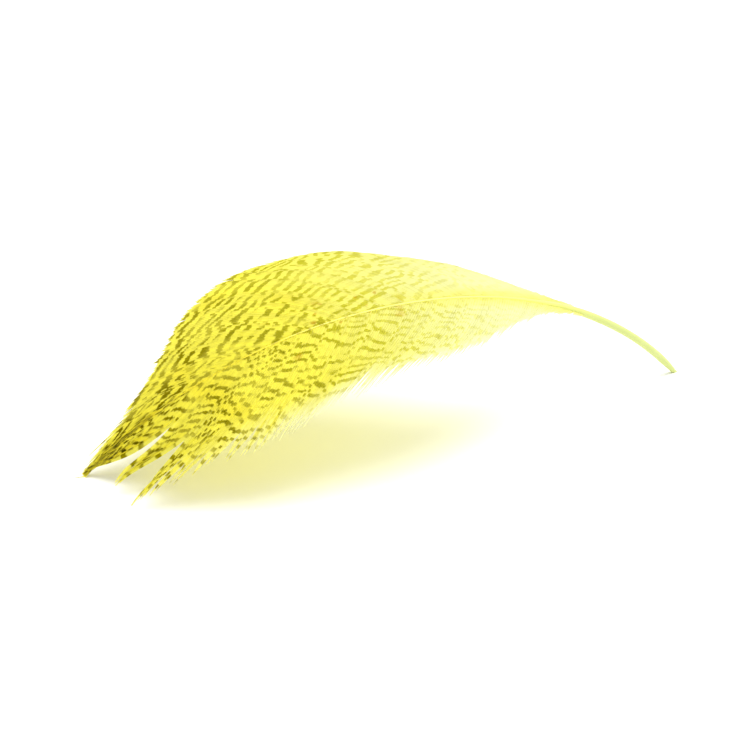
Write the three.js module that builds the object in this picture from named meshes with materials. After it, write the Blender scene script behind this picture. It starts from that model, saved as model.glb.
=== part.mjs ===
// A duck's flank feather, dyed lemon yellow, lying with its outer face up.
// Millimetres, +Z up. The quill end is at +X and the tip at -X. It rests on z = 0 with the
// end of its quill, the tip of its shaft's lock and the nearest lock of its near vane.

import * as THREE from 'three';

// Shaft: distances run along its middle line, from the quill end to the tip.
const SHAFT_END = 74;
const SPINE_END = 84;
const LOCK_TIP = 80;
const QUILL_RADIUS = 0.56;
const QUILL_END_RADIUS = 0.3;
// The middle line starts just under the floor, so the quill's end is cut flat on it.
const QUILL_END_HEIGHT = -0.2;
const QUILL_END_TAPER = 3.5;
const SHAFT_TIP_RADIUS = 0.16;
const SHAFT_SIDES = 10;
const SHAFT_STEP = 1.6;

// The shaft is an arch: it climbs from the quill end, is level in the middle and comes down.
const PITCH_START = 51.2;
const PITCH_MIDDLE = -1;
const PITCH_END = -46.4;
// Seen from above it bows a little towards the near side.
const SIDE_BEND = 20;
// Moves the middle of the whole feather's box to the origin.
const CENTRE = [-0.465, 0.785];

// Vanes: thin webs, crowned across and rolled a little about the shaft.
const VANE_START = 16.5;
const CROWN_RADIUS = 45;
const ROLL = 10;
const WEB_THICKNESS = 0.32;
const SHAFT_GAP = 0.3;
const MIDLINE_GAP = 0.22;
const FLOOR_BLEND = 0.15;
const BARB_COLUMNS = 12;
const ROW_STEP = 1.7;

// A barb leaves the shaft steeper than the line to its tip, then bends towards the tip.
// The barbs at the base are straighter, and this turn grows over the first stretch of the vane.
const BARB_LEAVING_TURN = 15;
const BARB_TURN_START = 15;
const BARB_TURN_GROWTH = 16;
const BARB_BOW = 0.45;

// Each lobe of a vane is a run of barbs: [root along the shaft, tip along, tip across].
const FAR_LOBES = [
  [
    [16.5, 17.9, 1.2], [18.2, 20.4, 1.6], [20.9, 23.6, 2.6], [23.4, 27.8, 4.9],
    [26.2, 32.4, 8.3], [29.4, 38.4, 12.6], [32.6, 44.4, 16.4], [36.6, 50.5, 17.9],
    [41.7, 56.5, 17.8], [47, 62.2, 14.4], [51.6, 65.8, 9.2], [56, 69, 5.5],
    [60.5, 73, 3.4], [65, 77.6, 2.1], [69, 80.4, 1.3], [72.5, 81.5, 0.6],
  ],
];
const NEAR_LOBES = [
  [
    [16.5, 17.9, 1.2], [18.2, 20.3, 1.6], [20.5, 23.2, 2.6], [23, 27, 4.6],
    [25.8, 31.4, 7.2], [29.2, 37, 9.4], [33, 43.5, 10.5], [38, 50, 11.2],
    [43.3, 56.5, 12.1], [48.5, 62.5, 12], [52.5, 67.5, 10.6], [55.5, 72, 9.1],
    [57.5, 77.5, 8.9], [59.5, 77.5, 8.5],
  ],
  [
    [60, 76, 5.6], [62, 77.5, 4.8], [64, 77, 4.3],
  ],
  [
    [64.5, 78.5, 2], [68.5, 80.5, 1.3], [72.5, 81.5, 0.6],
  ],
];
// The column where the gap between two lobes of the near vane starts.
const SLIT_COLUMN = 8;

const radians = THREE.MathUtils.degToRad;
const UP = new THREE.Vector3(0, 0, 1);

// The shaft's middle line, summed in small steps, with its chord along X.
function spine() {
  const step = 0.25;
  const curve = 2 * (PITCH_START + PITCH_END - 2 * PITCH_MIDDLE);
  const slope = PITCH_END - PITCH_START - curve;
  const points = [new THREE.Vector3()];
  const count = Math.round(SPINE_END / step);
  for (let i = 1; i <= count; i += 1) {
    const along = Math.min(((i - 0.5) * step) / LOCK_TIP, 1);
    const pitch = radians(PITCH_START + slope * along + curve * along * along);
    const heading = radians(SIDE_BEND * (0.5 - along));
    const turn = new THREE.Vector3(
      -Math.cos(pitch) * Math.cos(heading),
      -Math.cos(pitch) * Math.sin(heading),
      Math.sin(pitch),
    );
    points.push(points[i - 1].clone().addScaledVector(turn, step));
  }
  const tip = points[Math.round(LOCK_TIP / step)];
  const chord = Math.atan2(tip.y, -tip.x);
  const half = Math.hypot(tip.x, tip.y) / 2;
  for (const point of points) {
    point.applyAxisAngle(UP, chord);
    point.x += half - CENTRE[0];
    point.y -= CENTRE[1];
    point.z += QUILL_END_HEIGHT;
  }
  return { step, points };
}

const SPINE = spine();

// The place and the directions at a distance along the shaft.
function frameAt(along) {
  const { step, points } = SPINE;
  const place = Math.min(Math.max(along / step, 0), points.length - 1.001);
  const index = Math.floor(place);
  const point = points[index].clone().lerp(points[index + 1], place - index);
  const before = points[Math.max(index - 2, 0)];
  const after = points[Math.min(index + 3, points.length - 1)];
  const tangent = after.clone().sub(before).normalize();
  const across = new THREE.Vector3().crossVectors(UP, tangent).negate().normalize();
  const normal = new THREE.Vector3().crossVectors(across, tangent).normalize();
  return { point, tangent, across, normal };
}

function shaftRadius(along) {
  if (along < QUILL_END_TAPER) {
    const rise = Math.sin((along / QUILL_END_TAPER) * Math.PI / 2);
    return QUILL_END_RADIUS + (QUILL_RADIUS - QUILL_END_RADIUS) * rise;
  }
  const taper = Math.max(along - VANE_START, 0) / (SHAFT_END - VANE_START);
  return QUILL_RADIUS + (SHAFT_TIP_RADIUS - QUILL_RADIUS) * Math.pow(taper, 0.8);
}

// What would pass below the floor is pressed flat on it.
function onFloor(height) {
  if (height > FLOOR_BLEND) {
    return height;
  }
  if (height < -FLOOR_BLEND) {
    return 0;
  }
  return (height + FLOOR_BLEND) ** 2 / (4 * FLOOR_BLEND);
}

// The top and bottom of a web at a distance along the shaft and across it.
function webAt(along, across) {
  const frame = frameAt(along);
  const roll = radians(ROLL);
  const side = frame.across.clone().multiplyScalar(Math.cos(roll));
  side.addScaledVector(frame.normal, Math.sin(roll));
  const up = frame.normal.clone().multiplyScalar(Math.cos(roll));
  up.addScaledVector(frame.across, -Math.sin(roll));
  const bend = across / CROWN_RADIUS;
  const middle = frame.point.clone();
  middle.addScaledVector(side, CROWN_RADIUS * Math.sin(bend));
  middle.addScaledVector(up, -CROWN_RADIUS * (1 - Math.cos(bend)));
  const normal = up.clone().multiplyScalar(Math.cos(bend)).addScaledVector(side, Math.sin(bend));
  const bottom = middle.clone().addScaledVector(normal, -WEB_THICKNESS / 2);
  const lift = onFloor(bottom.z) - bottom.z;
  bottom.z += lift;
  const top = middle.clone().addScaledVector(normal, WEB_THICKNESS / 2);
  top.z += lift;
  return { top, bottom };
}

// A barb's middle line in distances along and across, as a quadratic curve.
function barbAt(root, tipAlong, tipAcross, part) {
  const start = Math.max(shaftRadius(root) + SHAFT_GAP, MIDLINE_GAP);
  const length = Math.hypot(tipAlong - root, tipAcross - start);
  const grown = Math.min((root - BARB_TURN_START) / BARB_TURN_GROWTH, 1);
  const chord = Math.atan2(tipAcross - start, tipAlong - root);
  const angle = chord + radians(BARB_LEAVING_TURN) * grown;
  const turn = new THREE.Vector2(root, start);
  turn.x += Math.cos(angle) * length * BARB_BOW;
  turn.y += Math.sin(angle) * length * BARB_BOW;
  const curve = new THREE.QuadraticBezierCurve(
    new THREE.Vector2(root, start),
    turn,
    new THREE.Vector2(tipAlong, tipAcross),
  );
  return curve.getPoint(part);
}

// The rows of a vane: evenly spaced barbs of each lobe, with the lobe's number.
function rowsOf(lobes) {
  const rows = [];
  lobes.forEach((lobe, number) => {
    const points = lobe.map((barb) => new THREE.Vector3(...barb));
    const curve = new THREE.CatmullRomCurve3(points, false, 'catmullrom', 0.5);
    const reach = lobe[lobe.length - 1][0] - lobe[0][0];
    const count = Math.max(Math.round(reach / ROW_STEP), 3);
    for (let i = 0; i <= count; i += 1) {
      rows.push({ barb: curve.getPoint(i / count), number });
    }
  });
  return rows;
}

// One closed web from rows of barbs, open between its lobes past the slit column.
function vane(lobes, side) {
  const rows = rowsOf(lobes);
  const positions = [];
  for (const row of rows) {
    for (let j = 0; j <= BARB_COLUMNS; j += 1) {
      const spot = barbAt(row.barb.x, row.barb.y, row.barb.z, j / BARB_COLUMNS);
      const { top, bottom } = webAt(spot.x, side * Math.max(spot.y, MIDLINE_GAP));
      positions.push(...top.toArray(), ...bottom.toArray());
    }
  }
  const filled = (i, j) => {
    if (i < 0 || j < 0 || i >= rows.length - 1 || j >= BARB_COLUMNS) {
      return false;
    }
    return rows[i].number === rows[i + 1].number || j < SLIT_COLUMN;
  };
  const top = (i, j) => (i * (BARB_COLUMNS + 1) + j) * 2;
  const indices = [];
  const quad = (a, b, c, d) => {
    const order = side > 0 ? [a, c, b, a, d, c] : [a, b, c, a, c, d];
    indices.push(...order);
  };
  for (let i = 0; i < rows.length - 1; i += 1) {
    for (let j = 0; j < BARB_COLUMNS; j += 1) {
      if (filled(i, j)) {
        const corners = [top(i, j), top(i, j + 1), top(i + 1, j + 1), top(i + 1, j)];
        const beside = [[i - 1, j], [i, j + 1], [i + 1, j], [i, j - 1]];
        const [a, b, c, d] = corners;
        quad(d, c, b, a);
        quad(a + 1, b + 1, c + 1, d + 1);
        beside.forEach(([row, column], k) => {
          if (!filled(row, column)) {
            const from = corners[k];
            const to = corners[(k + 1) % 4];
            quad(from, to, to + 1, from + 1);
          }
        });
      }
    }
  }
  return closed(positions, indices);
}

// The quill and the shaft between the vanes, as one tapered tube with closed ends.
function shaft() {
  const positions = [];
  const indices = [];
  const count = Math.round(SHAFT_END / SHAFT_STEP);
  for (let i = 0; i <= count; i += 1) {
    const along = (SHAFT_END * i) / count;
    const { point, across, normal } = frameAt(along);
    const radius = shaftRadius(along);
    for (let j = 0; j < SHAFT_SIDES; j += 1) {
      const angle = (2 * Math.PI * j) / SHAFT_SIDES;
      const spot = point.clone();
      spot.addScaledVector(across, radius * Math.cos(angle));
      spot.addScaledVector(normal, radius * Math.sin(angle));
      positions.push(spot.x, spot.y, Math.max(spot.z, 0));
    }
  }
  for (let i = 0; i < count; i += 1) {
    for (let j = 0; j < SHAFT_SIDES; j += 1) {
      const next = (j + 1) % SHAFT_SIDES;
      const a = i * SHAFT_SIDES + j;
      const b = i * SHAFT_SIDES + next;
      const c = b + SHAFT_SIDES;
      const d = a + SHAFT_SIDES;
      indices.push(a, c, b, a, d, c);
    }
  }
  const last = count * SHAFT_SIDES;
  for (let j = 1; j < SHAFT_SIDES - 1; j += 1) {
    indices.push(0, j, j + 1);
    indices.push(last, last + j + 1, last + j);
  }
  return closed(positions, indices);
}

function closed(positions, indices) {
  const geometry = new THREE.BufferGeometry();
  geometry.setAttribute('position', new THREE.Float32BufferAttribute(positions, 3));
  geometry.setIndex(indices);
  geometry.computeVertexNormals();
  return geometry;
}

function piece(name, geometry, color, roughness) {
  const material = new THREE.MeshStandardMaterial({ color, roughness, metalness: 0 });
  const mesh = new THREE.Mesh(geometry, material);
  mesh.name = name;
  return mesh;
}

const feather = new THREE.Group();
feather.add(piece('shaft', shaft(), 0xd6e65a, 0.35));
feather.add(piece('far_vane', vane(FAR_LOBES, 1), 0xf2e21e, 0.7));
feather.add(piece('near_vane', vane(NEAR_LOBES, -1), 0xf2e21e, 0.7));

export default feather;
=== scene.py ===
# A duck's flank feather, dyed lemon yellow: a shaft and two vanes of single barbs.
# Sizes are in millimetres and angles in degrees until a mesh is made, which is in metres.

import math

import bpy
import numpy as np
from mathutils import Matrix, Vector

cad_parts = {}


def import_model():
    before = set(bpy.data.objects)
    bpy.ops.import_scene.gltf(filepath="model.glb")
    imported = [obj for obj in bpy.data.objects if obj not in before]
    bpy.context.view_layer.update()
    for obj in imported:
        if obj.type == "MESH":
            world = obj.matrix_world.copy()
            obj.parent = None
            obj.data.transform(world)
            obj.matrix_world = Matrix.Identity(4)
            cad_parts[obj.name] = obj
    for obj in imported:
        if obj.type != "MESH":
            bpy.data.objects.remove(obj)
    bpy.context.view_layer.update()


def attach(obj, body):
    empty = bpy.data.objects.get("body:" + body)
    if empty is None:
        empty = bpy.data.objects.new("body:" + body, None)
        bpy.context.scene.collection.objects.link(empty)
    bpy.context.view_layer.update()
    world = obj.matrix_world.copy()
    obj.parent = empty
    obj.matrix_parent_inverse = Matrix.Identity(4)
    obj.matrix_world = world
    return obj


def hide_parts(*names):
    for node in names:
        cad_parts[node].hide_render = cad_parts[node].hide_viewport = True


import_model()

MM = 0.001

# Shaft: distances run along its middle line, from the quill end to the tip.
SHAFT_END = 74
SPINE_END = 84
SPINE_STEP = 0.25
LOCK_TIP = 80
VANE_START = 16.5
PITCH_START = 51.2
PITCH_MIDDLE = -1
PITCH_END = -46.4
SIDE_BEND = 20
CENTRE = (-0.465, 0.785)
QUILL_END_HEIGHT = -0.2

# Radii of the shaft, and the part of them that it has in the air and between the vanes.
QUILL_RADIUS = 0.56
QUILL_END_RADIUS = 0.3
QUILL_END_TAPER = 3.5
SHAFT_TIP_RADIUS = 0.16
SHAFT_TAPER_POWER = 0.8
SHAFT_IN_AIR = 0.78
SHAFT_IN_WEB = 0.55
SHAFT_SINK = 0.5
POINT_NARROWING = 0.75
GROOVE_DEPTH = 0.35
GROOVE_SHARPNESS = 2.6
SHAFT_SIDES = 20
SHAFT_RINGS = 240

# Stretches over which the shaft changes: [from, to].
POINT_STRETCH = (SHAFT_END - 8, SHAFT_END + 2)
THINNING_STRETCH = (VANE_START + 2, VANE_START + 16)
GROOVE_STRETCH = (VANE_START - 3, VANE_START + 6)
SINKING_STRETCH = (VANE_START, VANE_START + 8)

# Vanes: crowned across and rolled a little about the shaft. A barb starts inside the shaft, at
# this part of its radius.
BARB_START = 0.3
CROWN_RADIUS = 45
ROLL = 10
BARB_LEAVING_TURN = 15
BARB_TURN_START = 15
BARB_TURN_GROWTH = 16
BARB_TURN_END = (60, 71)
BARB_BOW = 0.45

# Barbs of each vane from its base: [root along the shaft, tip along, tip across].
FAR_BARBS = [
    (16.5, 17.9, 1.2), (18.2, 20.4, 1.6), (20.9, 23.6, 2.6), (23.4, 27.8, 4.9),
    (26.2, 32.4, 8.3), (29.4, 38.4, 12.6), (32.6, 44.4, 16.4), (36.6, 50.5, 17.9),
    (41.7, 56.5, 17.8), (47, 62.2, 14.4), (51.6, 65.8, 9.2), (56, 69, 5.5),
    (60.5, 73, 3.4), (65, 77.6, 2), (69, 80.2, 0.8), (72.5, 81, 0),
]
NEAR_BARBS = [
    (16.5, 17.9, 1.2), (18.2, 20.3, 1.6), (20.5, 23.2, 2.6), (23, 27, 4.6),
    (25.8, 31.4, 7.2), (29.2, 37, 9.4), (33, 43.5, 10.5), (38, 50, 11.2),
    (43.3, 56.5, 12.1), (48.5, 62.5, 12), (52.5, 68.5, 10.4), (56, 74, 8.6),
    (58, 75.6, 7.2), (60, 76.4, 5.7), (62, 77.2, 4.2), (64.5, 78.2, 2.8),
    (68.5, 80, 0.9), (72.5, 81, -0.1),
]

# Locks at the tip: [first root, last root, tip along, tip across, pull, start of the split,
# place in the run that it gathers to, and whether its outer edge stays joined to the vane].
FAR_LOCKS = [(60, 73, 81, -0.3, 0.86, 0.4, 1, True)]
NEAR_LOCKS = [
    (48, 56.4, 77.6, 8.7, 0.88, 0.42, 0.7, True),
    (56.5, 60.8, 77.2, 4.4, 0.86, 0.38, 0.4, False),
    (60.9, 73, 80.8, -0.7, 0.92, 0.36, 1, False),
]
JOINED_POWER = 1.5
LOCK_STAGGER = 0.9
HAIR_SHARE = 0.08
HAIR_LENGTH = 1.6

# What differs between the vanes. A taper is the part of a barb over which its strip narrows
# to its tip, at its base side and at its tip side. Cover widens the dark bars. Folds are the
# strip's corners on a bake map, and under lists the faces that look down.
FAR = {
    "side": 1,
    "seed": 11,
    "barbs": FAR_BARBS,
    "locks": FAR_LOCKS,
    "tip_jitter": 0.12,
    "long_tip": 0.25,
    "clump_pull": (0, 0.03),
    "stray": 0.03,
    "tapers": (0.045, 0.03),
    "bar_pitch": 1.35,
    "bar_lean": (0.42, 0.62),
    "bar_cover": 0.32,
    "pale_edge": 0,
    "folds": (0, 0.3, 0.33, 0.36, 0.66, 0.83, 1),
    "under": (4, 5),
}
NEAR = {
    "side": -1,
    "seed": 23,
    "barbs": NEAR_BARBS,
    "locks": NEAR_LOCKS,
    "tip_jitter": 0.36,
    "long_tip": 0.8,
    "clump_pull": (0, 0.2),
    "stray": 0.12,
    "tapers": (0.34, 0.2),
    "bar_pitch": 1.25,
    "bar_lean": (0.1, 0.86),
    "bar_cover": 0.02,
    "pale_edge": 1,
    "folds": (0, 0.17, 0.47, 0.5, 0.53, 0.83, 1),
    "under": (0, 5),
}
LOCK_TAPERS = (0.3, 0.1)
TAPER_SHAKE = (0.6, 1.4)
TAPER_POWER = 0.8
LONG_TIP_SHARE = 0.06
PALE_EDGE_ROOTS = (40, 57)

# Parts of a barb, from 0 at its root to 1 at its tip, over which a change grows.
TIP_PART = (0.6, 1)
FLOOR_PART = (0.4, 1)
STRAY_PART = (0.7, 1)

# Runs of barbs that cling together: their sizes, where they start to, and their middles.
CLUMP_SIZES = (4, 13)
CLUMP_STARTS = (0.8, 0.92)
CLUMP_MIDDLES = (0.3, 0.7)
GATHER_END = 1.02

# Waves of the web: height, length along and across, and where across they grow. The shift
# keeps the noise's coordinates above 0 for barbs that cross the shaft's middle.
WAVE_HEIGHT = 0.3
WAVE_ALONG = 9
WAVE_ACROSS = 7
WAVE_GROWTH = (1, 9)
ACROSS_SHIFT = 2
LIFT_NOISE = 0.006

# Barbs: thin strips with a ridge along the middle, each lapping over the next like a shingle.
BARB_PITCH = 0.31
BARB_STATIONS = 56
STATION_POWER = 0.92
OUTLINE_POINTS = 400
FLOOR_HALVINGS = 16
BARB_OVERLAP = 1.3
BARB_MAX_WIDTH = 0.9
BARB_MIN_WIDTH = 0.12
HAIR_WIDTH = 0.05
FLOOR_CLEARANCE = 0.09
LOWEST_POINT = 0.01
RIDGE_TOP = 0.05
RIDGE_BOTTOM = 0.05
RIDGE_SHOULDER = 0.5
RIDGE_HALF_WIDTH = 0.05
RIDGE_ROOM = 1.5
RIDGE_AT_TIP = 0.3
SHINGLE = 0.03

# How much of the ridge's colour each corner of a strip's section has.
RIB = (0, 0.6, 1, 0.6, 0, 1)

# Bars: rows of short dark dashes, each a few barbs long, shifted along the barbs by noise.
# Each shift is in turns of the bars, and its lengths are in barbs and in millimetres.
DASH_BARBS = 2.2
BROAD_SHIFT, BROAD_BARBS, BROAD_LENGTH = 0.45, 12, 6
DASH_SHIFT, DASH_LENGTH = 0.55, 3
BARB_SHIFT, BARB_LENGTH = 0.1, 2
INK_LENGTH = 1.1

# Bake maps: strips side by side, and the part of each cell that stays empty along each side.
MAP_COLUMNS = 5
MAP_MARGIN = 0.07

# Barbules show as a fine bump along each barb.
BARBULE_PITCH = 0.17
BARBULE_HEIGHT = 0.02
BARBULE_BUMP = 0.25
LIGHT_THROUGH = 0.92

# Zones of a vane, as parts of its length from its start to the shaft's end: [from, to].
PALE_ZONE = (0.5, 0.2)
LEMON_ZONE = (0.38, 0.66)
# The golden zone is where painted shade deepens the web's tone towards the tip.
GOLDEN_SHADE_ZONE = (0.45, 0.75)
LEMON_BY_SHAFT_ZONE = (0.5, 0.25)
RIB_ZONE = (0.1, 0.6)
DASH_ZONE = (0.1, 0.6)
PALE_DASH_ZONE = (0.95, 0.4)
RUST_START_ZONE = (0.38, 0.46)
RUST_END_ZONE = (0.68, 0.6)
QUILL_ZONE = (-0.08, 0.2)
SHAFT_GOLD_ZONE = (0.3, 0.8)
SPECK_ZONE = (0.2, 0.6)

# The photograph's view: a long lens from the near side, a little to the left.
PHOTO_SIDE = 740
PIXELS_PER_MM = 9.1
VIEW_AZIMUTH = -20.9
VIEW_ELEVATION = 27
VIEW_DISTANCE = 420
VIEW_TARGET = (-1.2, 0, 6.5)

# Studio, in metres and watts: one soft lamp above and to the right, and a white sky.
FLOOR_HALF_SIDE = 3.0
LAMP_PLACE = (0.22, 0.04, 0.8)
LAMP_AIM = (0, 0, 0.005)
LAMP_SIZE = 0.8
LAMP_POWER = 7.2
SKY_STRENGTH = 0.9


def unit(vectors):
    return vectors / np.maximum(np.linalg.norm(vectors, axis=-1, keepdims=True), 1e-9)


def smooth(low, high, value):
    """0 below low, 1 above high, and a smooth step between."""
    part = np.clip((value - low) / (high - low), 0, 1)
    return part * part * (3 - 2 * part)


def spine():
    """The shaft's middle line with its directions, at every SPINE_STEP."""
    curve = 2 * (PITCH_START + PITCH_END - 2 * PITCH_MIDDLE)
    slope = PITCH_END - PITCH_START - curve
    count = round(SPINE_END / SPINE_STEP)
    along = np.minimum((np.arange(count) + 0.5) * SPINE_STEP / LOCK_TIP, 1)
    pitch = np.radians(PITCH_START + slope * along + curve * along**2)
    heading = np.radians(SIDE_BEND * (0.5 - along))
    steps = np.stack(
        [-np.cos(pitch) * np.cos(heading), -np.cos(pitch) * np.sin(heading), np.sin(pitch)], 1
    )
    line = np.vstack([np.zeros(3), np.cumsum(steps * SPINE_STEP, 0)])
    tip = line[round(LOCK_TIP / SPINE_STEP)]
    chord = math.atan2(tip[1], -tip[0])
    half = math.hypot(tip[0], tip[1]) / 2
    points = np.stack(
        [
            line[:, 0] * math.cos(chord) - line[:, 1] * math.sin(chord) + half - CENTRE[0],
            line[:, 0] * math.sin(chord) + line[:, 1] * math.cos(chord) - CENTRE[1],
            line[:, 2] + QUILL_END_HEIGHT,
        ],
        1,
    )
    tangent = unit(np.gradient(points, axis=0))
    across = unit(-np.cross([0, 0, 1], tangent))
    normal = np.cross(across, tangent)
    return {"point": points, "tangent": tangent, "across": across, "normal": normal}


SPINE = spine()


def on_spine(name, along):
    """A value of the spine at distances along it."""
    table = SPINE[name]
    stations = np.arange(len(table)) * SPINE_STEP
    return np.stack([np.interp(along, stations, table[:, i]) for i in range(3)], -1)


def web(along, across, lift):
    """Points of a vane's middle surface raised by lift, and the surface's normals there."""
    out, up = on_spine("across", along), on_spine("normal", along)
    roll = math.radians(ROLL)
    side = out * math.cos(roll) + up * math.sin(roll)
    top = up * math.cos(roll) - out * math.sin(roll)
    bend = (across / CROWN_RADIUS)[..., None]
    normal = top * np.cos(bend) + side * np.sin(bend)
    point = on_spine("point", along) + side * CROWN_RADIUS * np.sin(bend)
    point -= top * CROWN_RADIUS * (1 - np.cos(bend))
    return point + normal * lift[..., None], normal


def floor_place(across):
    """How far along the web meets the floor, at distances across, by halving a range."""
    low, high = np.full_like(across, SHAFT_END), np.full_like(across, SPINE_END - 1)
    for _ in range(FLOOR_HALVINGS):
        middle = (low + high) / 2
        above = web(middle, across, 0 * across)[0][..., 2] > FLOOR_CLEARANCE
        low, high = np.where(above, middle, low), np.where(above, high, middle)
    return low


def shaft_radius(along):
    taper = np.clip((along - VANE_START) / (SHAFT_END - VANE_START), 0, 1)
    radius = QUILL_RADIUS + (SHAFT_TIP_RADIUS - QUILL_RADIUS) * taper**SHAFT_TAPER_POWER
    rise = np.sin(np.clip(along / QUILL_END_TAPER, 0, 1) * np.pi / 2)
    end = QUILL_END_RADIUS + (QUILL_RADIUS - QUILL_END_RADIUS) * rise
    return np.where(along < QUILL_END_TAPER, end, radius)


def catmull_rom(points, places):
    """Values of a Catmull-Rom curve at places from 0 to 1."""
    points = np.array(points, float)
    last = len(points) - 1
    at = last * places
    index = np.minimum(at.astype(int), last - 1)
    part = (at - index)[:, None]
    padded = np.vstack([2 * points[0] - points[1], points, 2 * points[-1] - points[-2]])
    p0, p1, p2, p3 = (padded[index + k] for k in range(4))
    start, end = (p2 - p0) / 2, (p3 - p1) / 2
    cubic = 2 * p1 - 2 * p2 + start + end
    square = -3 * p1 + 3 * p2 - 2 * start - end
    return p1 + start * part + square * part**2 + cubic * part**3


def barb_rows(barbs):
    """A vane's barbs with their roots evenly spaced: [root, tip along, tip across]."""
    dense = catmull_rom(barbs, np.linspace(0, 1, OUTLINE_POINTS))
    count = round((barbs[-1][0] - barbs[0][0]) / BARB_PITCH)
    roots = np.linspace(barbs[0][0], barbs[-1][0], count + 1)
    return np.stack([np.interp(roots, dense[:, 0], dense[:, k]) for k in range(3)], 1)


def barb_lines(rows, parts):
    """Distances along and across of each barb's middle line, as a quadratic curve."""
    root, tip_along, tip_across = (rows[:, k][:, None] for k in range(3))
    start = shaft_radius(root) * BARB_START
    length = np.hypot(tip_along - root, tip_across - start)
    grown = np.minimum((root - BARB_TURN_START) / BARB_TURN_GROWTH, 1)
    grown = grown * (1 - smooth(*BARB_TURN_END, root))
    angle = np.arctan2(tip_across - start, tip_along - root)
    angle = angle + math.radians(BARB_LEAVING_TURN) * grown
    bow_along = root + np.cos(angle) * length * BARB_BOW
    bow_across = start + np.sin(angle) * length * BARB_BOW
    a, b, c = (1 - parts) ** 2, 2 * parts * (1 - parts), parts**2
    return a * root + b * bow_along + c * tip_along, a * start + b * bow_across + c * tip_across


def value_noise(rng, rows, columns):
    """Smooth noise from -1 to 1 at arrays of row and column coordinates, all above 0."""
    height = int(np.max(rows)) + 3
    width = int(np.max(columns)) + 3
    table = rng.uniform(-1, 1, (height, width))
    i, j = np.floor(rows).astype(int), np.floor(columns).astype(int)
    u, v = smooth(0, 1, rows - i), smooth(0, 1, columns - j)
    near = table[i, j] * (1 - v) + table[i, j + 1] * v
    far = table[i + 1, j] * (1 - v) + table[i + 1, j + 1] * v
    return near * (1 - u) + far * u


def clump(along, across, parts, strength, rng):
    """Draws runs of neighbouring barbs together towards their tips, so that gaps open."""
    first = 0
    while first < len(along):
        size = int(rng.integers(*CLUMP_SIZES))
        run = slice(first, min(first + size, len(along)))
        pull = rng.uniform(*strength) * smooth(rng.uniform(*CLUMP_STARTS), GATHER_END, parts)
        lean = rng.uniform(*CLUMP_MIDDLES)
        for line in (along, across):
            middle = line[run][0] * (1 - lean) + line[run][-1] * lean
            line[run] += (middle - line[run]) * pull
        first += size


def lock(along, across, parts, run, tip, pull, start, lean, joined):
    """Gathers a run of barbs into one lock with its tip at a place of its own."""
    share = np.linspace(0, 1, np.count_nonzero(run))[:, None] ** JOINED_POWER if joined else 1
    for line, goal in ((along, tip[0]), (across, tip[1])):
        middle = line[run][0] * (1 - lean) + line[run][-1] * lean
        middle = middle + (goal - middle[-1]) * smooth(start, 1, parts)
        line[run] += (middle - line[run]) * pull * share * smooth(start, GATHER_END, parts)


def barb_paths(shape, parts, rng):
    """Each barb's root, and the distances along and across of its middle line."""
    rows = barb_rows(shape["barbs"])
    count, roots = len(rows), rows[:, 0]
    longer = rng.normal(0, shape["tip_jitter"], (count, 1))
    longer += shape["long_tip"] * (rng.random((count, 1)) < LONG_TIP_SHARE)
    rows[:, 1:] += unit(rows[:, 1:] - rows[:, :1] * [1, 0]) * longer
    along, across = barb_lines(rows, parts)
    first_root = shape["locks"][0][0]
    loose = np.searchsorted(roots, first_root)
    clump(along[:loose], across[:loose], parts, shape["clump_pull"], rng)
    for low, high, tip_along, tip_across, *how in shape["locks"]:
        run = (roots >= low) & (roots <= high)
        lock(along, across, parts, run, (tip_along, tip_across), *how)
        stagger = np.abs(rng.normal(0, LOCK_STAGGER, (np.count_nonzero(run), 1)))
        along[run] -= stagger * smooth(*TIP_PART, parts)
    past_floor = along[:, -1:] - floor_place(shape["side"] * across[:, -1:])
    along -= np.maximum(past_floor, 0) * smooth(*FLOOR_PART, parts)
    hair = (roots[:, None] > first_root) & (rng.random((count, 1)) < HAIR_SHARE)
    along += HAIR_LENGTH * hair * smooth(*TIP_PART, parts)
    return roots[:, None], along, across


def barb_middles(shape, along, across, parts, rng):
    """Each barb's middle line in space, a little wavy, and the web's normals along it."""
    count = len(along)
    wave = value_noise(rng, along / WAVE_ALONG, (across + ACROSS_SHIFT) / WAVE_ACROSS + 1)
    stray = smooth(*STRAY_PART, parts) * rng.normal(0, shape["stray"], (count, 1))
    lift = WAVE_HEIGHT * wave * smooth(*WAVE_GROWTH, across) + stray
    lift = lift + rng.normal(0, LIFT_NOISE, (count, 1))
    middle, normal = web(along, shape["side"] * across, lift)
    middle[..., 2] = np.maximum(middle[..., 2], FLOOR_CLEARANCE)
    return middle, normal


def strip_half(middle, other, sideways):
    """Half a strip's width on the side of a neighbour, so that the two lap over."""
    spacing = np.abs(np.sum((other - middle) * sideways, 2))
    return np.clip(spacing * BARB_OVERLAP, BARB_MIN_WIDTH, BARB_MAX_WIDTH) / 2


def strip_sizes(shape, roots, middle, sideways, parts, rng):
    """Each strip's width to the left and right of its middle, and how full its ridge is."""
    before = np.vstack([2 * middle[:1] - middle[1:2], middle[:-1]])
    after = np.vstack([middle[1:], 2 * middle[-1:] - middle[-2:-1]])
    shake = rng.uniform(*TAPER_SHAKE, (len(middle), 1))
    loose = roots < shape["locks"][0][0]
    fades = [
        np.clip((1 - parts) / (np.where(loose, edge, tuft) * shake), 0, 1) ** TAPER_POWER
        for edge, tuft in zip(shape["tapers"], LOCK_TAPERS)
    ]
    left, right = (
        np.maximum(strip_half(middle, other, sideways) * fade, HAIR_WIDTH / 2)
        for other, fade in zip((before, after), fades)
    )
    return left, right, RIDGE_AT_TIP + (1 - RIDGE_AT_TIP) * fades[0]


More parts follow.
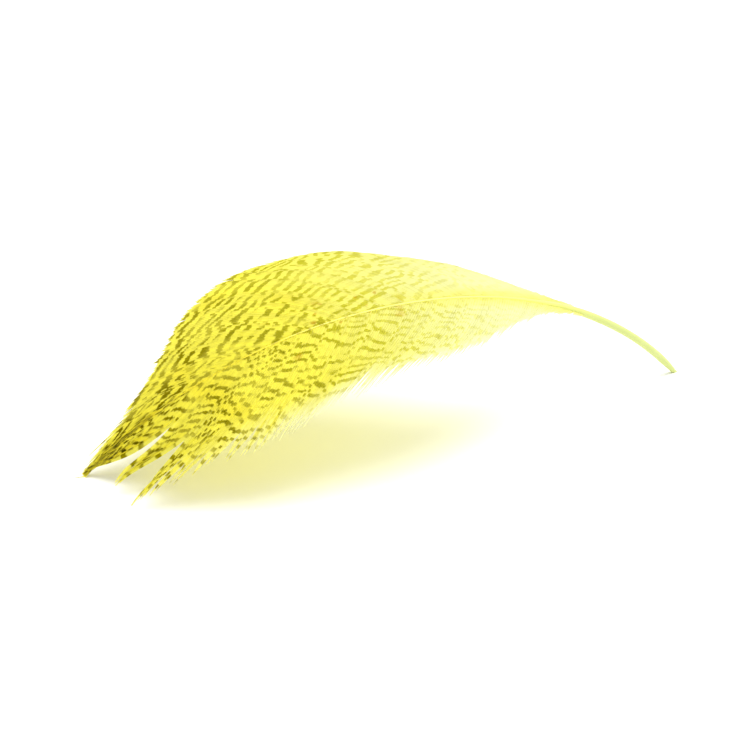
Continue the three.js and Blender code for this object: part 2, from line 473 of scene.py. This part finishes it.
def strip_rings(side, middle, sideways, normal, left, right, ridge):
    """The six corners of each strip's section, at each of its stations."""
    thick = np.minimum(1, np.minimum(left, right) / RIDGE_HALF_WIDTH / RIDGE_ROOM)

    # Left edge, ridge, right edge and keel: distances sideways and up.
    section = [
        (-left, side * SHINGLE * ridge),
        (-RIDGE_HALF_WIDTH * thick, RIDGE_SHOULDER * RIDGE_TOP * ridge),
        (0 * ridge, RIDGE_TOP * ridge),
        (RIDGE_HALF_WIDTH * thick, RIDGE_SHOULDER * RIDGE_TOP * ridge),
        (right, -side * SHINGLE * ridge),
        (0 * ridge, -RIDGE_BOTTOM * ridge),
    ]
    corners = [
        middle + sideways * out[..., None] + normal * up[..., None]
        for out, up in section
    ]
    ring = np.stack(corners[::side], 2)
    ring[..., 2] = np.maximum(ring[..., 2], LOWEST_POINT)
    return ring


def bars(shape, along, across, reach_mm, rng):
    """The bars' phase in turns, dark where it is a whole number, and how dark each dash is."""
    order = np.arange(len(along))[:, None] * np.ones(along.shape[1])
    low, high = shape["bar_lean"]
    length = SHAFT_END - VANE_START
    grow = np.clip((along - VANE_START) / length, 0, 1)
    lean = low + (high - low) * grow
    summed = low * along + (high - low) * (along - VANE_START) ** 2 / 2 / length
    phase = (summed + across * np.sqrt(1 - lean**2)) / shape["bar_pitch"]
    phase += BROAD_SHIFT * value_noise(rng, order / BROAD_BARBS + 1, reach_mm / BROAD_LENGTH + 1)
    dash = np.cumsum(rng.random(len(order)) < 1 / DASH_BARBS)[:, None] + 0 * order
    phase += DASH_SHIFT * value_noise(rng, dash, reach_mm / DASH_LENGTH + 1)
    phase += BARB_SHIFT * value_noise(rng, order, reach_mm / BARB_LENGTH + 1)
    ink = 0.5 + 0.5 * value_noise(rng, dash, reach_mm / INK_LENGTH + 1)
    return phase, ink


def vane_values(shape, roots, along, across, middle, parts, rng):
    """What the web's material reads at each point of the barbs."""
    steps = np.diff(middle, axis=1, prepend=middle[:, :1])
    reach_mm = np.cumsum(np.linalg.norm(steps, axis=2), 1)
    phase, ink = bars(shape, along, across, reach_mm, rng)
    edge = smooth(*TIP_PART, parts) * (1 - smooth(*PALE_EDGE_ROOTS, roots))
    return {
        "bars": phase,
        "ink": ink,
        "cover": shape["bar_cover"] + 0 * along,
        "reach": parts + 0 * along,
        "reach_mm": reach_mm,
        "station": (along - VANE_START) / (SHAFT_END - VANE_START),
        "outward": across,
        "edge": edge * shape["pale_edge"],
        "tone": rng.uniform(0, 1, (len(along), 1)) + 0 * along,
        "rib": np.array(RIB[:: shape["side"]]) + 0 * along[..., None],
    }


def vane(name, shape):
    """One vane: every barb is a closed strip that tapers to a hair at its tip."""
    rng = np.random.default_rng(shape["seed"])
    side = shape["side"]
    parts = np.linspace(0, 1, BARB_STATIONS) ** STATION_POWER
    roots, along, across = barb_paths(shape, parts, rng)
    middle, normal = barb_middles(shape, along, across, parts, rng)
    forward = unit(np.gradient(middle, axis=1))
    sideways = unit(np.cross(normal, forward)) * side
    sizes = strip_sizes(shape, roots, middle, sideways, parts, rng)
    ring = strip_rings(side, middle, sideways, normal, *sizes)
    values = vane_values(shape, roots, along, across, middle, parts, rng)
    return strips(name, ring, values, shape["folds"], MAP_COLUMNS, shape["under"])


def strips(name, ring, values, folds, columns, under):
    """A mesh of closed tubes from rings[strip, station, corner], with point values."""
    count, stations, corners = ring.shape[:3]
    grid = np.arange(count * stations * corners).reshape(count, stations, corners)
    turned = np.roll(grid, -1, 2)
    quads = np.stack([grid[:, :-1], grid[:, 1:], turned[:, 1:], turned[:, :-1]], -1)
    caps = np.vstack([grid[:, 0], grid[:, -1, ::-1]])
    mesh = bpy.data.meshes.new(name)
    faces = quads.reshape(-1, 4).tolist() + caps.tolist()
    mesh.from_pydata((ring.reshape(-1, 3) * MM).tolist(), [], faces)
    for key, table in values.items():
        if table.ndim == 2:
            table = np.repeat(table[..., None], corners, 2)
        layer = mesh.attributes.new(key, "FLOAT", "POINT")
        layer.data.foreach_set("value", table.ravel().astype(np.float32))
    is_under = np.zeros(quads.shape[:3], np.float32)
    is_under[:, :, list(under)] = 1
    layer = mesh.attributes.new("under", "FLOAT", "FACE")
    layer.data.foreach_set("value", np.append(is_under, np.zeros(len(caps), np.float32)))
    layer = mesh.uv_layers.new(name="OFBake")
    layer.data.foreach_set("uv", strip_map(count, stations, corners, folds, columns))
    piece = bpy.data.objects.new(name, mesh)
    bpy.context.scene.collection.objects.link(piece)
    return piece


def strip_map(count, stations, corners, folds, columns):
    """Each strip lies flat in its own cell of a grid; a cap is a sliver at its end."""
    rows = math.ceil(count / columns)
    cell = np.array([1 / columns, 1 / rows])
    number = np.arange(count)
    corner = np.stack([number % columns, number // columns], 1) * cell
    inner = cell * (1 - 2 * MAP_MARGIN)
    folds = np.array(folds, float)
    u = np.linspace(0, 1, stations)
    u_table = np.stack([u[:-1], u[1:], u[1:], u[:-1]], -1)[:, None] * np.ones((1, corners, 1))
    v_table = np.stack([folds[:-1], folds[:-1], folds[1:], folds[1:]], -1)
    v_table = v_table[None] * np.ones((stations - 1, 1, 1))
    bulge = MAP_MARGIN / 2 * np.sin(np.pi * np.arange(corners) / (corners - 1))
    start = np.stack([-bulge, folds[:-1]], -1)
    end = np.stack([1 + bulge, folds[:-1]], -1)[::-1]
    place = (corner + cell * MAP_MARGIN)[:, None]
    sides = np.stack([u_table, v_table], -1).reshape(1, -1, 2) * inner + place
    first, last = (table[None] * inner + place for table in (start, end))
    return np.concatenate([sides.ravel(), first.ravel(), last.ravel()]).astype(np.float32)


def shaft(name):
    """The quill and the shaft, sunk between the vanes, with a groove below and a thin point."""
    along = np.linspace(0, POINT_STRETCH[1], SHAFT_RINGS)
    in_web = smooth(*THINNING_STRETCH, along)
    radius = shaft_radius(along)
    radius *= 1 - POINT_NARROWING * smooth(*POINT_STRETCH, along)
    radius *= SHAFT_IN_AIR + (SHAFT_IN_WEB - SHAFT_IN_AIR) * in_web
    angle = np.linspace(0, 2 * np.pi, SHAFT_SIDES, endpoint=False)
    notch = np.exp(-((np.sin(angle / 2 + np.pi / 4) * GROOVE_SHARPNESS) ** 2))
    groove = GROOVE_DEPTH * smooth(*GROOVE_STRETCH, along)[:, None] * notch
    size = radius[:, None] * (1 - groove)
    across = on_spine("across", along)[:, None]
    normal = on_spine("normal", along)[:, None]
    sink = SHAFT_SINK * radius * smooth(*SINKING_STRETCH, along)
    spot = on_spine("point", along)[:, None] - normal * sink[:, None, None]
    spot = spot + across * (size * np.cos(angle))[..., None]
    spot = spot + normal * (size * np.sin(angle))[..., None]
    spot[..., 2] = np.maximum(spot[..., 2], 0)
    values = {"station": (along[None] - VANE_START) / (SHAFT_END - VANE_START)}
    return strips(name, spot[None], values, np.linspace(0, 1, SHAFT_SIDES + 1), 1, ())


class Nodes:
    """Short calls for building one material's node tree."""

    def __init__(self, name):
        self.material = bpy.data.materials.new(name)
        self.material.use_nodes = True
        self.tree = self.material.node_tree
        self.shader = self.tree.nodes["Principled BSDF"]
        self.output = self.tree.nodes["Material Output"]

    def link(self, source, socket):
        self.tree.links.new(source, socket)

    def put(self, value, socket):
        if isinstance(value, bpy.types.NodeSocket):
            self.link(value, socket)
        else:
            socket.default_value = value

    def attribute(self, name):
        node = self.tree.nodes.new("ShaderNodeAttribute")
        node.attribute_name = name
        return node.outputs["Fac"]

    def math(self, kind, a, b=0.0):
        node = self.tree.nodes.new("ShaderNodeMath")
        node.operation = kind
        self.put(a, node.inputs[0])
        self.put(b, node.inputs[1])
        return node.outputs[0]

    def times(self, product, *others):
        for other in others:
            product = self.math("MULTIPLY", product, other)
        return product

    def span(self, value, low, high, start=0.0, end=1.0):
        """Start up to low, end from high, and a smooth step between."""
        node = self.tree.nodes.new("ShaderNodeMapRange")
        node.interpolation_type = "SMOOTHSTEP"
        for socket, number in zip(node.inputs, (value, low, high, start, end)):
            self.put(number, socket)
        return node.outputs[0]

    def noise(self, size_mm, detail=2.0, roughness=0.5, seed=0.0):
        place = self.tree.nodes.new("ShaderNodeTexCoord")
        node = self.tree.nodes.new("ShaderNodeTexNoise")
        node.noise_dimensions = "4D"
        self.link(place.outputs["Object"], node.inputs["Vector"])
        node.inputs["W"].default_value = seed
        node.inputs["Scale"].default_value = 1 / (size_mm * MM)
        node.inputs["Detail"].default_value = detail
        node.inputs["Roughness"].default_value = roughness
        return node.outputs[0]

    def blend(self, part, a, b):
        node = self.tree.nodes.new("ShaderNodeMix")
        node.data_type = "RGBA"
        self.put(part, node.inputs["Factor"])
        self.put(a, node.inputs["A"])
        self.put(b, node.inputs["B"])
        return node.outputs["Result"]


def colour(red, green, blue):
    """Linear colour with alpha from 0 to 255 display values."""
    def linear(value):
        value /= 255
        return value / 12.92 if value <= 0.04045 else ((value + 0.055) / 1.055) ** 2.4

    return (linear(red), linear(green), linear(blue), 1.0)


LEMON = colour(245, 241, 122)
MELLOW = colour(238, 238, 172)
PALE = colour(237, 239, 209)
WISP = colour(245, 246, 224)
# Gold colours the ribs, and also the golden patches of painted shade towards the tip.
GOLD = colour(244, 230, 40)
OLIVE = colour(154, 143, 0)
OLIVE_PALE = colour(209, 206, 68)
RUST = colour(204, 164, 14)
CLEAR = colour(253, 252, 236)
HORN = colour(194, 205, 112)
HORN_PALE = colour(206, 215, 136)
SHAFT_LEMON = colour(234, 232, 112)
SHAFT_GOLD = colour(226, 210, 30)


def web_material():
    """Lemon-dyed web over fine dark bars, paler towards the base, with golden painted shade
    towards the tip and light passing through.
    """
    n = Nodes("barred_web")
    shown = web_colour(n)
    shader = n.shader
    n.link(shown, shader.inputs["Base Color"])
    barbules = n.math("SINE", n.times(n.attribute("reach_mm"), 2 * math.pi / BARBULE_PITCH))
    bump = n.tree.nodes.new("ShaderNodeBump")
    bump.inputs["Strength"].default_value = BARBULE_BUMP
    bump.inputs["Distance"].default_value = BARBULE_HEIGHT * MM
    n.link(barbules, bump.inputs["Height"])
    n.link(bump.outputs["Normal"], shader.inputs["Normal"])
    shader.inputs["Roughness"].default_value = 0.6
    shader.inputs["Specular IOR Level"].default_value = 0.0
    glow = n.tree.nodes.new("ShaderNodeBsdfTranslucent")
    n.link(n.blend(n.attribute("under"), shown, CLEAR), glow.inputs["Color"])
    mix = n.tree.nodes.new("ShaderNodeMixShader")
    mix.inputs[0].default_value = LIGHT_THROUGH
    n.link(shader.outputs[0], mix.inputs[1])
    n.link(glow.outputs[0], mix.inputs[2])
    n.link(mix.outputs[0], n.output.inputs["Surface"])
    return n.material


def web_colour(n):
    """The web's colour: a dyed lemon ground with painted shade, dark dashes and rusty spots,
    each barb a little its own.
    """
    station = n.attribute("station")
    bar = n.blend(n.span(station, *PALE_DASH_ZONE), OLIVE, OLIVE_PALE)
    shown = n.blend(dashes(n, station), dye_and_shade(n, station), bar)
    shown = n.blend(rusty_spots(n, station), shown, RUST)
    value = n.tree.nodes.new("ShaderNodeHueSaturation")
    n.link(shown, value.inputs["Color"])
    n.link(n.span(n.attribute("tone"), 0, 1, 0.93, 1.03), value.inputs["Value"])
    return value.outputs["Color"]


def dye_and_shade(n, station):
    """Lemon, paler towards the base and at the near edge, with ribs and with golden patches of
    painted shade towards the tip.
    """
    base = n.blend(n.span(station, *PALE_ZONE), MELLOW, PALE)
    base = n.blend(n.span(station, *LEMON_ZONE), base, LEMON)
    # Painted shade: golden patches, broken up by noise, that deepen the tone towards the tip.
    patches = n.span(n.noise(7, 1), 0.5, 0.72)
    golden_shade = n.times(patches, n.span(station, *GOLDEN_SHADE_ZONE, 0, 0.4))
    base = n.blend(golden_shade, base, GOLD)
    by_shaft = n.span(n.attribute("outward"), 2.6, 0.6)
    lemon = n.times(by_shaft, n.span(station, *LEMON_BY_SHAFT_ZONE, 0, 0.45))
    base = n.blend(lemon, base, LEMON)
    rib = n.times(n.attribute("rib"), n.span(station, *RIB_ZONE, 0.05, 0.16))
    base = n.blend(rib, base, GOLD)
    return n.blend(n.attribute("edge"), base, WISP)


def dashes(n, station):
    """How dark the bars are: broken into dashes, and faint at the base, tips and near edge."""
    wave = n.math("COSINE", n.times(n.attribute("bars"), 2 * math.pi))
    wave = n.math("ADD", wave, n.attribute("cover"))
    rough = n.times(n.math("SUBTRACT", n.noise(0.5, 2, seed=3), 0.5), 1.5)
    return n.times(
        n.span(n.math("ADD", wave, rough), 0.15, 0.75),
        n.span(n.attribute("ink"), 0.15, 0.5, 0.1, 1),
        n.span(station, *DASH_ZONE, 0.08, 1),
        n.span(n.noise(4, 1, seed=7), 0.34, 0.6, 0.6, 1),
        n.span(n.attribute("reach"), 1.0, 0.97, 0.3, 1),
        n.span(n.attribute("edge"), 0, 1, 1, 0.25),
    )


def rusty_spots(n, station):
    """A few small rusty spots close to the shaft, in the middle of the vane's length."""
    return n.times(
        n.span(n.noise(1.5, 1, seed=5), 0.62, 0.7),
        n.span(n.attribute("outward"), 5, 3),
        n.span(station, *RUST_START_ZONE, 0, 0.7),
        n.span(station, *RUST_END_ZONE),
    )


def shaft_material():
    """Smooth yellow-green horn at the quill, dyed lemon like the web between the vanes."""
    n = Nodes("shaft_horn")
    station = n.attribute("station")
    quill = n.blend(n.noise(2.5, 2), HORN, HORN_PALE)
    shown = n.blend(n.span(station, *QUILL_ZONE), quill, SHAFT_LEMON)
    shown = n.blend(n.span(station, *SHAFT_GOLD_ZONE), shown, SHAFT_GOLD)
    specks = n.span(n.noise(0.7, 2, seed=9), 0.5, 0.62)
    specks = n.times(specks, n.span(station, *SPECK_ZONE, 0, 0.55))
    shown = n.blend(specks, shown, OLIVE)
    n.link(shown, n.shader.inputs["Base Color"])
    n.shader.inputs["Roughness"].default_value = 0.3
    return n.material


def floor():
    mesh = bpy.data.meshes.new("floor")
    side = FLOOR_HALF_SIDE
    corners = [(-side, -side, 0), (side, -side, 0), (side, side, 0), (-side, side, 0)]
    mesh.from_pydata(corners, [], [(0, 1, 2, 3)])
    sheet = bpy.data.objects.new("floor", mesh)
    bpy.context.scene.collection.objects.link(sheet)
    n = Nodes("white_floor")
    n.shader.inputs["Base Color"].default_value = (0.9, 0.9, 0.9, 1)
    n.shader.inputs["Roughness"].default_value = 0.9
    n.shader.inputs["Specular IOR Level"].default_value = 0.1
    mesh.materials.append(n.material)


def lamp():
    light = bpy.data.lights.new("key", "AREA")
    light.shape = "DISK"
    light.size = LAMP_SIZE
    light.energy = LAMP_POWER
    holder = bpy.data.objects.new("key", light)
    holder.location = LAMP_PLACE
    towards = Vector(LAMP_AIM) - Vector(LAMP_PLACE)
    holder.rotation_euler = towards.to_track_quat("-Z", "Y").to_euler()
    bpy.context.scene.collection.objects.link(holder)


def camera():
    data = bpy.data.cameras.new("camera")
    field = PHOTO_SIDE / PIXELS_PER_MM
    data.lens = data.sensor_width * VIEW_DISTANCE / field
    data.clip_start, data.clip_end = 0.01, 20
    holder = bpy.data.objects.new("camera", data)
    azimuth, height = math.radians(VIEW_AZIMUTH), math.radians(VIEW_ELEVATION)
    back = Vector(
        (
            math.sin(azimuth) * math.cos(height),
            -math.cos(azimuth) * math.cos(height),
            math.sin(height),
        )
    )
    holder.location = (Vector(VIEW_TARGET) + back * VIEW_DISTANCE) * MM
    holder.rotation_euler = (-back).to_track_quat("-Z", "Y").to_euler()
    bpy.context.scene.collection.objects.link(holder)
    bpy.context.scene.camera = holder


def world():
    sky = bpy.data.worlds.new("studio")
    sky.use_nodes = True
    background = sky.node_tree.nodes["Background"]
    background.inputs["Color"].default_value = (1, 1, 1, 1)
    background.inputs["Strength"].default_value = SKY_STRENGTH
    bpy.context.scene.world = sky
    bpy.context.scene.view_settings.view_transform = "Standard"


camera()
world()
floor()
lamp()

web_look = web_material()
far_vane = vane("far_barbs", FAR)
near_vane = vane("near_barbs", NEAR)
quill = shaft("shaft_and_quill")
far_vane.data.materials.append(web_look)
near_vane.data.materials.append(web_look)
quill.data.materials.append(shaft_material())

for piece, node, slot in (
    (far_vane, "far_vane", "web"),
    (near_vane, "near_vane", "web"),
    (quill, "shaft", "shaft"),
):
    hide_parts(node)
    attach(piece, "root")
